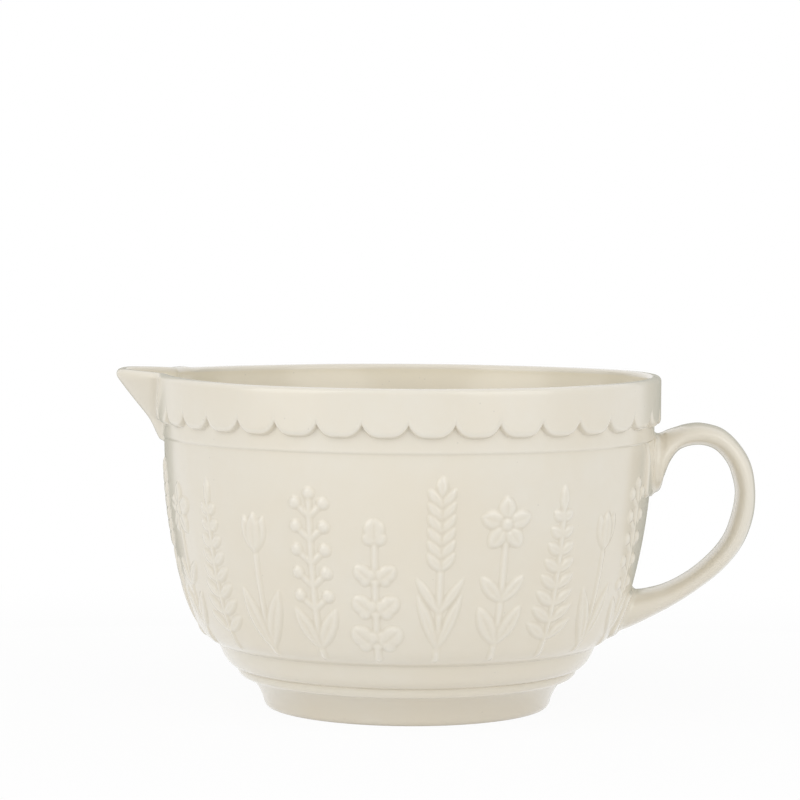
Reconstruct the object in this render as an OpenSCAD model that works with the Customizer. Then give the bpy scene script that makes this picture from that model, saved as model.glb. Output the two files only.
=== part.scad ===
// A batter bowl in cream glazed stoneware: a footed mixing bowl with a scalloped rim band,
// a pouring lip, a loop handle and a low relief of plants on its wall.
// Z is up and the bowl's axis is the Z axis. It stands on z = 0, the pouring lip points
// to -X and the handle to +X. Angles round the bowl start at -Y, its front, and turn to +X.

/* [Bowl] */
// Outer diameter of the rim band
rim_d = 235; // [220:1:250]
// Height of the rim above the table
bowl_h = 154.4; // [140:0.2:170]
// Thickness of the side wall
wall_t = 5.4; // [4.8:0.1:6]
// Thickness of the floor in the middle
floor_t = 9; // [7:0.5:11]
// Height above the base moulding at which the wall turns in
haunch_rise = 27.5; // [24:0.5:32]
// Height above the base moulding at which the wall's last, tight turn starts
heel_rise = 7.5; // [6:0.5:10]
// Lean of the wall at the haunch, in degrees
haunch_lean = 14.5; // [11.5:0.5:17.5]
// Lean of the wall at the heel, in degrees
heel_lean = 28; // [25:0.5:31]
// Lean of the wall where it meets the base moulding, in degrees
toe_lean = 70; // [62:1:74]

/* [Rim] */
// Drop from the rim to the lowest points of the scallops
band_drop = 21.4; // [18:0.2:24]
// Drop from the rim to the lower edge of the fascia
fascia_drop = 28.2; // [26.4:0.2:34]
// How far the fascia's face lies inside the band's face
band_proud = 3; // [2:0.1:4]
// How far the wall's face lies inside the fascia's face
fascia_proud = 0.7; // [0.4:0.1:2]
// Depth of the rebate in the wall that holds the fascia
fascia_seat = 2.2; // [1.4:0.1:2.8]
// Radius of the rounded lip
lip_r = 2.7; // [1.8:0.1:3.2]
// Number of scallops round the band
scallops = 36; // [24:1:44]
// Depth of the scallops
scallop_depth = 4.2; // [3:0.1:6]

/* [Foot] */
// Diameter of the foot at its top
foot_d = 148; // [138:0.5:156]
// Height of the foot
foot_h = 14.2; // [11:0.2:16]
// How far the foot tapers in on its way down
foot_taper = 6.9; // [4:0.1:9]
// Radius of the foot's lower outer edge
foot_edge_r = 2.8; // [1:0.1:3.5]
// Width of the foot ring at its top
foot_w = 14; // [12:0.1:16]
// Depth of the hollow under the floor
foot_hollow = 4; // [2:0.5:6]
// Height of the narrow bead above the foot
bead_h = 4.5; // [3.5:0.1:6]
// Height of the broad base moulding above the bead
moulding_h = 11.8; // [9:0.2:14]
// Break of the upper edge of the bead and the moulding
moulding_edge = 0.8; // [0.4:0.1:1.5]

/* [Pouring lip] */
// Reach of the lip's tip beyond the rim band
spout_reach = 19; // [12:0.1:24]
// Width of the lip where it leaves the band
spout_w = 44; // [38:1:48]
// Height of the tip above the rim
spout_rise = 2.4; // [1:0.1:6]
// Radius of the tip, seen from above
nose_r = 4.5; // [3.5:0.1:5.5]
// Depth of the tip's front
nose_h = 4.5; // [3:0.5:6]
// Thickness of the lip's sides
spout_t = 4; // [3:0.1:5]

/* [Handle] */
// Reach of the handle beyond the wall
handle_reach = 48.3; // [40:0.1:56]
// Height of the handle's top above the fascia's lower edge
handle_top_rise = 6.9; // [5:0.1:7.9]
// Height of the handle's lowest point above the base moulding
handle_low_rise = 3; // [1:0.5:6]
// Width of the grip
grip_w = 26; // [22:0.5:32]
// Thickness of the raised pads that carry the handle
pad_t = 1.5; // [1:0.1:2]
// Width of the upper pad
upper_pad_w = 66; // [56:1:67]
// Height of the upper pad, up to the fascia
upper_pad_h = 25.5; // [22:0.5:27]
// Width of the lower pad
lower_pad_w = 52; // [46:1:60]
// Height of the lower pad
lower_pad_h = 20; // [16:0.5:24]
// Radius of the pads' corners
pad_corner_r = 5; // [3:0.5:8]

/* [Relief] */
// Height of the relief above the wall
relief_h = 1.2; // [0.8:0.1:2]
// Number of places for a plant round the bowl
plant_places = 24; // [18:6:24]
// Height of the tallest plants
plant_h = 82; // [66:1:83]
// Height above the base moulding at which the plants start
plant_rise = 4; // [3:0.5:6]
// Width of a stem
stem_w = 2.2; // [1.6:0.1:3]
// Length of a broad leaf
leaf_l = 20; // [15:0.5:23]
// Width of a broad leaf
leaf_w = 7; // [5:0.5:8]
// Length of a grain in a wheat ear
grain_l = 9; // [7:0.5:10]
// Width of a grain in a wheat ear
grain_w = 4.4; // [3:0.2:5]
// Length of a blossom's petal
petal_l = 11; // [8:0.5:12]
// Width of a blossom's petal
petal_w = 7.5; // [6:0.5:8.5]
// Diameter of a berry
berry_d = 5; // [3.5:0.5:6]
// Width of a heart-shaped leaf
heart_w = 10; // [8:0.5:11]

/* [Hidden] */
$fn = 180;

glaze = "#e6e0d3";
glaze_wall = "#e2dacb";
glaze_relief = "#ebe5d9";

// Run past a surface so that cuts go right through
overrun = 1;

// Where the handle and the pouring lip stand round the bowl
handle_angle = 90;
spout_angle = 270;

// Levels, from the table up
bead_z = foot_h;
moulding_z = bead_z + bead_h;
wall_z = moulding_z + moulding_h;
heel_z = wall_z + heel_rise;
haunch_z = wall_z + haunch_rise;
fascia_z = bowl_h - fascia_drop;
scallop_z = bowl_h - band_drop;
cusp_z = scallop_z + scallop_depth;
seat_step = 0.5;
band_seat_z = cusp_z + seat_step;
floor_z = foot_hollow + floor_t;
spout_top_z = bowl_h + spout_rise;

// The body is one casting, in three solids so that each is simple: floor, haunch and wall
floor_seam_rise = 5.5;
wall_seam_rise = 4;
floor_seam_z = wall_z + floor_seam_rise;
wall_seam_z = haunch_z + wall_seam_rise;

// Radii at those levels
rim_r = rim_d / 2;
fascia_r = rim_r - band_proud;
wall_r = fascia_r - fascia_proud;
fascia_seat_r = wall_r - fascia_seat;
inner_r = wall_r - wall_t;
foot_r = foot_d / 2;
foot_inner_r = foot_r - foot_w;

// The wall's outer line is three arcs that run into each other
flank_r = (fascia_z - haunch_z) / sin(haunch_lean);
haunch_r = (haunch_z - heel_z) / (sin(heel_lean) - sin(haunch_lean));
heel_r = (heel_z - wall_z) / (sin(toe_lean) - sin(heel_lean));
flank_c = [wall_r - flank_r, fascia_z];
haunch_c = flank_c + (flank_r - haunch_r) * [cos(haunch_lean), -sin(haunch_lean)];
heel_c = haunch_c + (haunch_r - heel_r) * [cos(heel_lean), -sin(heel_lean)];
heel_point_r = heel_c.x + heel_r * cos(heel_lean);
flank_steps = 8;
haunch_steps = 5;
heel_steps = 6;

// The bowl's inside follows the flank and then sweeps round to the floor in one arc
inner_turn = flank_c + (flank_r - wall_t) * [cos(haunch_lean), -sin(haunch_lean)];
inner_sweep_r = (inner_turn.y - floor_z) / (1 - sin(haunch_lean));
inner_sweep_c = inner_turn - inner_sweep_r * [cos(haunch_lean), -sin(haunch_lean)];
inner_steps = 14;

// The mouldings stand on a cone between the foot and the wall, in shares of its run
toe_r = heel_c.x + heel_r * cos(toe_lean);
cone_inset = 2.2;
cone_low_r = foot_r - cone_inset;
cone_high_r = toe_r - 2 * cone_inset;
base_run = toe_r - foot_r;
bead_low_share = 0.03;
bead_high_share = 0.375;
moulding_low_share = 0.285;
moulding_high_share = 0.965;
bead_bulge_share = 0.2;
moulding_bulge_share = 0.15;
bulge_steps = 8;

// A point on a circle round c
function on_circle(c, r, angle) = c + r * [cos(angle), sin(angle)];

// Points along an arc round c, from one angle to another
function arc(c, r, from, to, steps, first = 0) =
    [for (i = [first:steps]) on_circle(c, r, from + (to - from) * i / steps)];

// Points from p to q along an arc that swells to the right by rise
function swell(p, q, rise, steps) =
    let (
        run = q - p,
        half = norm(run) / 2,
        r = (half * half + rise * rise) / (2 * rise),
        side = [run.y, -run.x] / norm(run),
        c = (p + q) / 2 + (rise - r) * side,
        middle = atan2(side.y, side.x),
        spread = asin(half / r)
    )
    [for (i = [0:steps]) on_circle(c, r, middle - spread + 2 * spread * i / steps)];

// The wall's outer line from the fascia down, at a distance off the wall
function wall_line(off) = concat(
    arc(flank_c, flank_r + off, 0, -haunch_lean, flank_steps),
    arc(haunch_c, haunch_r + off, -haunch_lean, -heel_lean, haunch_steps, 1),
    arc(heel_c, heel_r + off, -heel_lean, -toe_lean, heel_steps, 1));

function reversed(points) = [for (i = [len(points) - 1:-1:0]) points[i]];

// The cone's radius at a level between the foot and the wall
function cone_r(z) = cone_low_r + (cone_high_r - cone_low_r) * (z - bead_z) / (wall_z - bead_z);

// Where the arc of a moulding starts or ends, in shares of the base's run
function base_r(share) = foot_r + share * base_run;

// A solid ring on the cone: flat top and bottom, swelling face and a broken upper edge
module cone_ring(low_z, high_z, low_share, high_share, bulge_share) {
    low = [base_r(low_share), low_z];
    high = [base_r(high_share), high_z - moulding_edge];
    rotate_extrude()
        polygon(concat(
            [[cone_r(low_z), low_z]],
            swell(low, high, norm(high - low) * bulge_share, bulge_steps),
            [[high.x - moulding_edge, high_z], [cone_r(high_z), high_z]]));
}

// Everything inside the bowl's outer faces, filled, with the wall's face moved out by off
module bowl_core(off) {
    rotate_extrude()
        polygon(concat(
            [[0, spout_top_z + overrun], [0, wall_z]],
            reversed(wall_line(off)),
            [[fascia_r, fascia_z], [fascia_r, skirt_z], [rim_r, skirt_z],
                [rim_r, spout_top_z + overrun]]));
}

// A layer on the wall between two distances off its face
module wall_layer(inner_off, outer_off) {
    rotate_extrude()
        polygon(concat(wall_line(inner_off), reversed(wall_line(outer_off))));
}

// Stands a flat outline up against the wall at an angle from the front and runs it outward
module against_wall(angle, z) {
    rotate([0, 0, angle])
        translate([0, -toe_r / 2, z])
            rotate([90, 0, 0])
                linear_extrude(rim_r - toe_r / 2)
                    children();
}

// Bowl body between two levels: the wall and floor, with a rebate at the top for the fascia

module body_part(low_z, high_z) {
    color(glaze_wall)
        intersection() {
            rotate_extrude()
                polygon(concat(
                    [[inner_r, band_seat_z], [fascia_seat_r, band_seat_z],
                        [fascia_seat_r, fascia_z]],
                    wall_line(0),
                    [[cone_high_r, wall_z], [cone_low_r, bead_z], [foot_inner_r, bead_z],
                        [foot_inner_r, foot_hollow], [0, foot_hollow], [0, floor_z]],
                    arc(inner_sweep_c, inner_sweep_r, -90, -haunch_lean, inner_steps),
                    arc(flank_c, flank_r - wall_t, -haunch_lean, 0, flank_steps, 1)));
            translate([0, 0, low_z])
                cylinder(r = rim_r, h = high_z - low_z);
        }
}

module bowl_floor() {
    body_part(foot_hollow - overrun, floor_seam_z);
}

module bowl_haunch() {
    body_part(floor_seam_z, wall_seam_z);
}

module bowl_wall() {
    difference() {
        body_part(wall_seam_z, band_seat_z + overrun);
        spout_channel();
    }
}

// Foot: the standing ring, the bead and the base moulding, each seated on the next

foot_land_r = foot_r - foot_taper - foot_edge_r;
foot_edge_steps = 6;
foot_cove_share = 0.05;

module foot_ring() {
    low = [foot_r - foot_taper, foot_edge_r];
    color(glaze)
        rotate_extrude()
            polygon(concat(
                [[foot_inner_r, bead_z], [foot_inner_r, 0]],
                arc([foot_land_r, foot_edge_r], foot_edge_r, -90, 0, foot_edge_steps),
                reversed(swell([foot_r, bead_z], low, foot_h * foot_cove_share, bulge_steps))));
}

module foot_bead() {
    color(glaze)
        cone_ring(bead_z, moulding_z, bead_low_share, bead_high_share, bead_bulge_share);
}

module base_moulding() {
    color(glaze)
        cone_ring(moulding_z, wall_z, moulding_low_share, moulding_high_share,
            moulding_bulge_share);
}

// Rim: a plain fascia in the wall's rebate, and the band over it with its scalloped skirt

fascia_edge = 0.6;
scallop_flat = 0.15;
skirt_z = scallop_z + scallop_flat;
scallop_angle = 360 / scallops;
scallop_w = 2 * rim_r * sin(scallop_angle / 2);
scallop_r = (scallop_w * scallop_w / 4 + scallop_depth * scallop_depth) / (2 * scallop_depth);
scallop_flat_w = sqrt(2 * scallop_r * scallop_flat);
lip_steps = 10;

module rim_fascia() {
    color(glaze)
        difference() {
            rotate_extrude()
                polygon([[fascia_seat_r, fascia_z], [fascia_r - fascia_edge, fascia_z],
                    [fascia_r, fascia_z + fascia_edge], [fascia_r, band_seat_z],
                    [fascia_seat_r, band_seat_z]]);
            spout_channel();
        }
}

// What two neighbouring scallops leave between them, below their shared cusp
module cusp_gap() {
    difference() {
        translate([-scallop_w / 2 + scallop_flat_w, scallop_z - overrun])
            square([scallop_w - 2 * scallop_flat_w, scallop_depth + overrun]);
        for (side = [-1, 1])
            translate([side * scallop_w / 2, scallop_z + scallop_r])
                circle(scallop_r);
    }
}

module rim_band() {
    lip_c = [rim_r - lip_r, bowl_h - lip_r];
    color(glaze)
        difference() {
            rotate_extrude()
                polygon(concat(
                    [[inner_r, band_seat_z], [fascia_r, band_seat_z], [fascia_r, skirt_z],
                        [rim_r, skirt_z]],
                    arc(lip_c, lip_r, 0, 180, lip_steps)));
            for (i = [0:scallops - 1])
                if (abs(i * scallop_angle - spout_angle) > scallop_angle / 2)
                    rotate([0, 0, i * scallop_angle])
                        translate([0, -fascia_r + overrun, 0])
                            rotate([90, 0, 0])
                                linear_extrude(band_proud + 2 * overrun)
                                    cusp_gap();
            spout_channel();
        }
}

// Pouring lip: a beak that tapers down to a tail under the fascia, and its channel

spout_root_r = 2;
spout_tail_r = 2.2;
spout_root_h = 4;
spout_nose = [-(rim_r + spout_reach - nose_r), 0, spout_top_z - nose_h];
spout_root_x = spout_root_r - sqrt(rim_r * rim_r - spout_w * spout_w / 4);
spout_root = [spout_root_x, spout_w / 2 - spout_root_r, bowl_h - spout_root_h];
spout_tail = [-wall_r, 0, fascia_z - spout_tail_r / 2];
channel_share = 1.35;
channel_draw_share = 1.55;

// The beak, drawn back by draw, with its root and tail moved off by a share of their run
module beak(draw, share, nose_top_z, root_top_z) {
    nose = spout_nose + [draw, 0, 0];
    root = nose + share * (spout_root - spout_nose);
    tail = nose + share * (spout_tail - spout_nose);
    $fn = 32;
    hull() {
        translate(nose)
            cylinder(r = nose_r, h = nose_top_z - nose.z);
        for (side = [-1, 1])
            translate([root.x, side * root.y, root.z])
                cylinder(r = spout_root_r, h = root_top_z - root.z);
        translate(tail)
            sphere(spout_tail_r);
    }
}

module spout_channel() {
    beak(channel_draw_share * spout_t, channel_share, spout_top_z + overrun,
        spout_top_z + overrun);
}

module spout() {
    color(glaze)
        difference() {
            beak(0, 1, spout_top_z, bowl_h);
            spout_channel();
            bowl_core(0);
        }
}

// Handle: a flat oval bar that follows an outer and an inner line, wider at both roots

handle_low_z = wall_z + handle_low_rise;
handle_top_z = fascia_z + handle_top_rise;
handle_h = handle_top_z - handle_low_z;
// Outer x, outer z, inner x, inner z and width along the handle from its upper root:
// x in shares of its reach from the wall, z in shares of its height, width in shares of the grip's
handle_line_shares = [
    [-0.14, 0.94, -0.14, 0.672, 1.36],
    [0.06, 0.95, 0.05, 0.676, 1.34],
    [0.14, 0.965, 0.1, 0.737, 1.26],
    [0.23, 0.98, 0.16, 0.814, 1.14],
    [0.34, 0.995, 0.26, 0.875, 1.05],
    [0.48, 1, 0.43, 0.898, 1],
    [0.68, 0.974, 0.6, 0.879, 1],
    [0.845, 0.902, 0.73, 0.813, 1],
    [0.96, 0.803, 0.795, 0.728, 1],
    [1, 0.669, 0.812, 0.656, 1],
    [0.972, 0.544, 0.775, 0.56, 1],
    [0.87, 0.422, 0.703, 0.468, 1],
    [0.684, 0.31, 0.573, 0.386, 1],
    [0.433, 0.213, 0.383, 0.306, 1.02],
    [0.2, 0.14, 0.17, 0.247, 1.1],
    [-0.02, 0.083, -0.03, 0.218, 1.22],
    [-0.2, 0.041, -0.2, 0.209, 1.32],
    [-0.42, 0, -0.42, 0.2, 1.4]];
handle_steps = 4;
handle_sides = 24;

// A smooth curve through four rows of numbers, between the middle two
function blend(a, b, c, d, t) =
    (2 * b + (c - a) * t + (2 * a - 5 * b + 4 * c - d) * t * t
        + (3 * b - a - 3 * c + d) * t * t * t) / 2;

// The rows of the table with steps more between each two
function smooth_rows(rows, steps) =
    let (last = len(rows) - 1)
    [for (i = [0:last * steps])
        let (k = min(floor(i / steps), last - 1))
        blend(rows[max(k - 1, 0)], rows[k], rows[k + 1], rows[min(k + 2, last)], i / steps - k)];

function handle_point(x_share, z_share) =
    [wall_r + x_share * handle_reach, 0, handle_low_z + z_share * handle_h];

// One oval section of the bar between an outer and an inner point
function handle_section(row) =
    let (
        outer = handle_point(row[0], row[1]),
        inner = handle_point(row[2], row[3]),
        half_w = grip_w * row[4] / 2
    )
    [for (i = [0:handle_sides - 1])
        let (a = 360 * i / handle_sides)
        (outer + inner) / 2 + (outer - inner) / 2 * cos(a) + [0, half_w * sin(a), 0]];

module handle_bar() {
    sections = [for (row = smooth_rows(handle_line_shares, handle_steps)) handle_section(row)];
    count = len(sections);
    sides = [for (j = [0:count - 2], i = [0:handle_sides - 1])
        let (a = j * handle_sides + i, b = j * handle_sides + (i + 1) % handle_sides)
        each [[a, b, b + handle_sides], [a, b + handle_sides, a + handle_sides]]];
    start = [for (i = [handle_sides - 1:-1:0]) i];
    end = [for (i = [0:handle_sides - 1]) (count - 1) * handle_sides + i];
    polyhedron([for (s = sections) each s], concat(sides, [start, end]));
}

module handle() {
    color(glaze)
        difference() {
            handle_bar();
            bowl_core(pad_t);
        }
}

lower_pad_rise = 5;

// A flat plate with round corners, from its lower edge up
module plate(w, h, corner_r) {
    translate([-w / 2, corner_r])
        square([w, h - 2 * corner_r]);
    translate([-w / 2 + corner_r, 0])
        square([w - 2 * corner_r, h]);
    for (x = [corner_r - w / 2, w / 2 - corner_r], y = [corner_r, h - corner_r])
        translate([x, y])
            circle(corner_r);
}

// The upper pad runs up to the fascia, so only its lower corners are round
module handle_upper_pad() {
    color(glaze)
        intersection() {
            wall_layer(0, pad_t);
            against_wall(handle_angle, fascia_z - upper_pad_h) {
                plate(upper_pad_w, upper_pad_h, pad_corner_r);
                translate([-upper_pad_w / 2, pad_corner_r])
                    square([upper_pad_w, upper_pad_h - pad_corner_r + overrun]);
            }
        }
}

module handle_lower_pad() {
    color(glaze)
        intersection() {
            wall_layer(0, pad_t);
            against_wall(handle_angle, wall_z + lower_pad_rise)
                plate(lower_pad_w, lower_pad_h, pad_corner_r);
        }
}

// Relief: six kinds of plant in turn round the wall, with the handle's place left bare

kinds = 6;
plant_z = wall_z + plant_rise;
plant_angle = 360 / plant_places;
bare_half_angle = asin((lower_pad_w + leaf_l) / (2 * heel_point_r));

// A leaf with two pointed ends, from the origin up
module leaf(l, w) {
    r = (l * l + w * w) / (4 * w);
    intersection_for(side = [-1, 1])
        translate([side * (r - w / 2), l / 2])
            circle(r);
}

// A pair of leaves that leave the stem at a height, to both sides
module leaf_pair(y, lean, l, w) {
    for (side = [-1, 1])
        translate([0, y])
            rotate(side * lean)
                leaf(l, w);
}

module stem(h) {
    translate([-stem_w / 2, 0])
        square([stem_w, h]);
}

module wheat() {
    ear_y = plant_h - 4.6 * grain_l;
    stem(plant_h - grain_l / 2);
    for (i = [0:5])
        leaf_pair(ear_y + i * 0.62 * grain_l, 36, grain_l * 1.1, grain_w * 0.9);
    translate([0, plant_h - grain_l])
        leaf(grain_l, grain_w);
    leaf_pair(0.06 * plant_h, 21, leaf_l * 1.35, leaf_w * 0.6);
    leaf_pair(0.26 * plant_h, 33, leaf_l * 0.95, leaf_w * 0.5);
}

module blossom() {
    heart_y = 0.74 * plant_h;
    stem(heart_y);
    for (i = [0:4])
        translate([0, heart_y])
            rotate(72 * i)
                translate([0, stem_w / 2])
                    leaf(petal_l, petal_w);
    translate([0, heart_y])
        circle(petal_w * 0.36);
    leaf_pair(0.08 * plant_h, 30, leaf_l, leaf_w);
    leaf_pair(0.32 * plant_h, 42, leaf_l * 0.75, leaf_w * 0.8);
}

module fern() {
    pairs = 8;
    fern_h = 0.94 * plant_h;
    stem(0.9 * fern_h);
    for (i = [0:pairs - 1])
        leaf_pair(fern_h * (0.1 + 0.1 * i), 56, leaf_l * (0.72 - 0.06 * i), leaf_w * 0.62);
    translate([0, 0.84 * fern_h])
        leaf(0.16 * fern_h, leaf_w * 0.6);
}

module tulip() {
    cup_y = 0.56 * plant_h;
    stem(cup_y + stem_w);
    leaf_pair(cup_y, 19, petal_l * 1.55, petal_w * 0.85);
    translate([0, cup_y])
        leaf(petal_l * 1.6, petal_w);
    leaf_pair(0.02 * plant_h, 20, leaf_l * 1.5, leaf_w);
}

module berries() {
    twigs = 5;
    twig_l = 0.45 * leaf_l;
    berry_h = 0.9 * plant_h;
    stem(berry_h);
    translate([0, berry_h])
        circle(berry_d / 2);
    for (i = [0:twigs - 1], side = [-1, 1])
        translate([0, berry_h * (0.3 + 0.14 * i)])
            rotate(side * 48) {
                stem(twig_l);
                translate([0, twig_l])
                    circle(berry_d / 2);
            }
    leaf_pair(0.05 * plant_h, 28, leaf_l * 1.05, leaf_w * 0.9);
}

// A heart-shaped leaf whose point is up
module heart_leaf(w) {
    lobe_r = 0.28 * w;
    for (side = [-1, 1])
        translate([side * (w / 2 - lobe_r), lobe_r])
            circle(lobe_r);
    translate([0, 0.12 * w])
        leaf(1.05 * w, 0.86 * w);
}

module hearts() {
    heart_h = 0.66 * plant_h;
    stem(heart_h);
    for (i = [0:2], side = [-1, 1])
        translate([0, heart_h * (0.1 + 0.27 * i)])
            rotate(side * 50) {
                stem(0.3 * heart_w);
                translate([0, 0.2 * heart_w])
                    heart_leaf(heart_w * (1 - 0.1 * i));
            }
    translate([0, heart_h - stem_w])
        heart_leaf(heart_w);
}

// Every sixth plant round the wall, from the first one of its kind on
module relief(first) {
    color(glaze_relief)
        intersection() {
            wall_layer(0, relief_h);
            union()
                for (i = [first:kinds:plant_places - 1]) {
                    angle = (i + 0.5) * plant_angle;
                    if (abs(angle - handle_angle) > bare_half_angle)
                        against_wall(angle, plant_z)
                            children();
                }
        }
}

module relief_wheat() { relief(0) wheat(); }
module relief_blossoms() { relief(1) blossom(); }
module relief_ferns() { relief(2) fern(); }
module relief_tulips() { relief(3) tulip(); }
module relief_berries() { relief(4) berries(); }
module relief_hearts() { relief(5) hearts(); }

bowl_floor();
bowl_haunch();
bowl_wall();
foot_ring();
foot_bead();
base_moulding();
rim_fascia();
rim_band();
spout();
handle();
handle_upper_pad();
handle_lower_pad();
relief_wheat();
relief_blossoms();
relief_ferns();
relief_tulips();
relief_berries();
relief_hearts();
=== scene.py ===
import math

import bpy
import numpy as np
from mathutils import Matrix, Vector


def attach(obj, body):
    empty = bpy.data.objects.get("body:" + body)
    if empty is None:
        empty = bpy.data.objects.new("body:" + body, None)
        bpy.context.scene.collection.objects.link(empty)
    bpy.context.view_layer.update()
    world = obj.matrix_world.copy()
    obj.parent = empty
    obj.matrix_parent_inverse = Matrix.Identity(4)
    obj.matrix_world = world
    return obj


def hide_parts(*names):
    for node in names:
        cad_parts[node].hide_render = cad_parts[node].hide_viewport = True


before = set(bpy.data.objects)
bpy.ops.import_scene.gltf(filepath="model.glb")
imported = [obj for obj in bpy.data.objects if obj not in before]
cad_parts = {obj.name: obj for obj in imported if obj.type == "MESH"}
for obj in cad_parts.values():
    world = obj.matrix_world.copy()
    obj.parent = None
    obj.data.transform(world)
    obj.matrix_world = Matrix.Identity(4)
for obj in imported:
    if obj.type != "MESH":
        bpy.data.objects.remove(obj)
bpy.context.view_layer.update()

MM = 0.001

# Camera, fitted to the ellipses of the rim, the mouldings and the foot
FOCAL_PIXELS, PICTURE_PIXELS, SENSOR_MM = 3060.65, 800, 36
CAMERA_PLACE = (0, -1.4272, 0.2272)
CAMERA_TURN = (3.3829, -0.1643, 0.3834)


def make_camera():
    pitch, yaw, roll = (math.radians(a) for a in CAMERA_TURN)
    forward = Vector((math.sin(yaw) * math.cos(pitch), math.cos(yaw) * math.cos(pitch), -math.sin(pitch)))
    level = Vector((math.cos(yaw), -math.sin(yaw), 0))
    upright = level.cross(forward)
    right = math.cos(roll) * level + math.sin(roll) * upright
    up = -math.sin(roll) * level + math.cos(roll) * upright
    data = bpy.data.cameras.new("camera")
    data.sensor_width = SENSOR_MM
    data.lens = FOCAL_PIXELS / PICTURE_PIXELS * SENSOR_MM
    data.clip_start, data.clip_end = 0.05, 20
    cam = bpy.data.objects.new("camera", data)
    cam.matrix_world = Matrix.Translation(Vector(CAMERA_PLACE)) @ Matrix(
        (right, up, -forward)).transposed().to_4x4()
    bpy.context.scene.collection.objects.link(cam)
    bpy.context.scene.camera = cam


make_camera()

# Sizes in millimetres, as the solids have them
RIM_R, FASCIA_R, WALL_R, SEAT_R, INNER_R = 117.5, 114.5, 113.8, 111.6, 108.4
BOWL_H, LIP_R, WALL_T = 154.4, 2.7, 5.4
LIP_Z = BOWL_H - LIP_R
FASCIA_Z, SCALLOP_Z, SCALLOP_D, BAND_SEAT_Z = 126.2, 132.9, 4.9, 137.7
WALL_Z, HEEL_Z, HAUNCH_Z, FLOOR_Z = 30.5, 38.0, 58.0, 13.0
HAUNCH_LEAN, HEEL_LEAN, TOE_LEAN = (math.radians(a) for a in (14.5, 28, 70))
FOOT_R, FOOT_TAPER, FOOT_EDGE_R, FOOT_INNER_R = 74.0, 6.9, 2.8, 60.0
FOOT_LAND_R = FOOT_R - FOOT_TAPER - FOOT_EDGE_R
BEAD_Z, MOULDING_Z = 14.2, 18.7
HANDLE_ANGLE, SPOUT_ANGLE, SPOUT_HALF, SPOUT_REACH = 90, 270, 25, 19.0
SCALLOP_ANGLE, SCALLOP_POWER = 10, 3.4
SPLIT_Z = 110.0
PLANT_Z, PLANT_H = 34.5, 82.0
PLANT_PLACES, PLANT_KINDS, BARE_HALF_ANGLE = 24, 6, 21
PLANT_STEP = 0.45
HIDDEN_DEPTH = 0.8

FLANK_R = (FASCIA_Z - HAUNCH_Z) / math.sin(HAUNCH_LEAN)
HAUNCH_R = (HAUNCH_Z - HEEL_Z) / (math.sin(HEEL_LEAN) - math.sin(HAUNCH_LEAN))
HEEL_R = (HEEL_Z - WALL_Z) / (math.sin(TOE_LEAN) - math.sin(HEEL_LEAN))


def leaned(angle):
    return np.array([math.cos(angle), -math.sin(angle)])


FLANK_C = np.array([WALL_R - FLANK_R, FASCIA_Z])
HAUNCH_C = FLANK_C + (FLANK_R - HAUNCH_R) * leaned(HAUNCH_LEAN)
HEEL_C = HAUNCH_C + (HAUNCH_R - HEEL_R) * leaned(HEEL_LEAN)
TOE_R = HEEL_C[0] + HEEL_R * math.cos(TOE_LEAN)
TURN = FLANK_C + (FLANK_R - WALL_T) * leaned(HAUNCH_LEAN)
SWEEP_R = (TURN[1] - FLOOR_Z) / (1 - math.sin(HAUNCH_LEAN))
SWEEP_C = TURN - SWEEP_R * leaned(HAUNCH_LEAN)
CONE_LOW_R, CONE_HIGH_R = FOOT_R - 2.2, TOE_R - 4.4


def smooth(t):
    t = np.clip(t, 0, 1)
    return t * t * (3 - 2 * t)


def higher(a, b, k):
    """The larger of two surfaces, with a fillet of size k where they meet."""
    gap = np.abs(a - b)
    return np.maximum(a, b) + np.where(gap < k, (k - gap) ** 2 / (4 * k), 0)


def lower(a, b, k):
    return -higher(-a, -b, k)


# The wall's outer and inner faces, as radius at a height
def on_arc(c, r, z):
    return c[0] + np.sqrt(np.maximum(r * r - (z - c[1]) ** 2, 0))


def wall_outer(z):
    z = np.asarray(z, float)
    r = np.where(z >= HAUNCH_Z, on_arc(FLANK_C, FLANK_R, z),
                 np.where(z >= HEEL_Z, on_arc(HAUNCH_C, HAUNCH_R, z), on_arc(HEEL_C, HEEL_R, z)))
    return np.where(z > FASCIA_Z, WALL_R, r)


def wall_inner(z):
    z = np.asarray(z, float)
    r = np.where(z >= TURN[1], on_arc(FLANK_C, FLANK_R - WALL_T, z), on_arc(SWEEP_C, SWEEP_R, z))
    r = np.where(z > FASCIA_Z, INNER_R, r)
    return r + (RIM_R - 2 * LIP_R - INNER_R) * smooth((z - 134) / (LIP_Z - 134))


def wall_normal(z):
    """The wall's outward direction at a height, as its radial and upward parts."""
    z = np.asarray(z, float)
    r = wall_outer(z)
    high, low = z >= HAUNCH_Z, z < HEEL_Z
    cr = np.where(high, FLANK_C[0], np.where(low, HEEL_C[0], HAUNCH_C[0]))
    cz = np.where(high, FLANK_C[1], np.where(low, HEEL_C[1], HAUNCH_C[1]))
    n = np.stack([r - cr, np.where(z > FASCIA_Z, 0, z - cz)], -1)
    return n / np.linalg.norm(n, axis=-1, keepdims=True)


# The pouring lip is pulled out of the rim: a wedge with a rounded nose and filleted roots
def keel(z):
    """The lip's underside along its middle, as radius at a height."""
    high = 120.7 + 0.815 * (z - 133.2)
    middle = 120.7 + 0.44 * (z - 133.2)
    tail = 118.2 + 0.68 * (z - 126.2)
    return lower(higher(high, middle, 1.2), lower(tail, 136.6, 1.2), 1.2)


def beak(s, z, draw=0.0):
    return keel(z) - draw - 1.05 * (np.sqrt(s * s + 4.4 ** 2) - 4.4)


def spout_s(theta):
    return RIM_R * np.radians((np.asarray(theta, float) - SPOUT_ANGLE + 180) % 360 - 180)


def spout_fillet(z):
    return 1.2 + 1.3 * smooth((z - 122) / 22)


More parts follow.
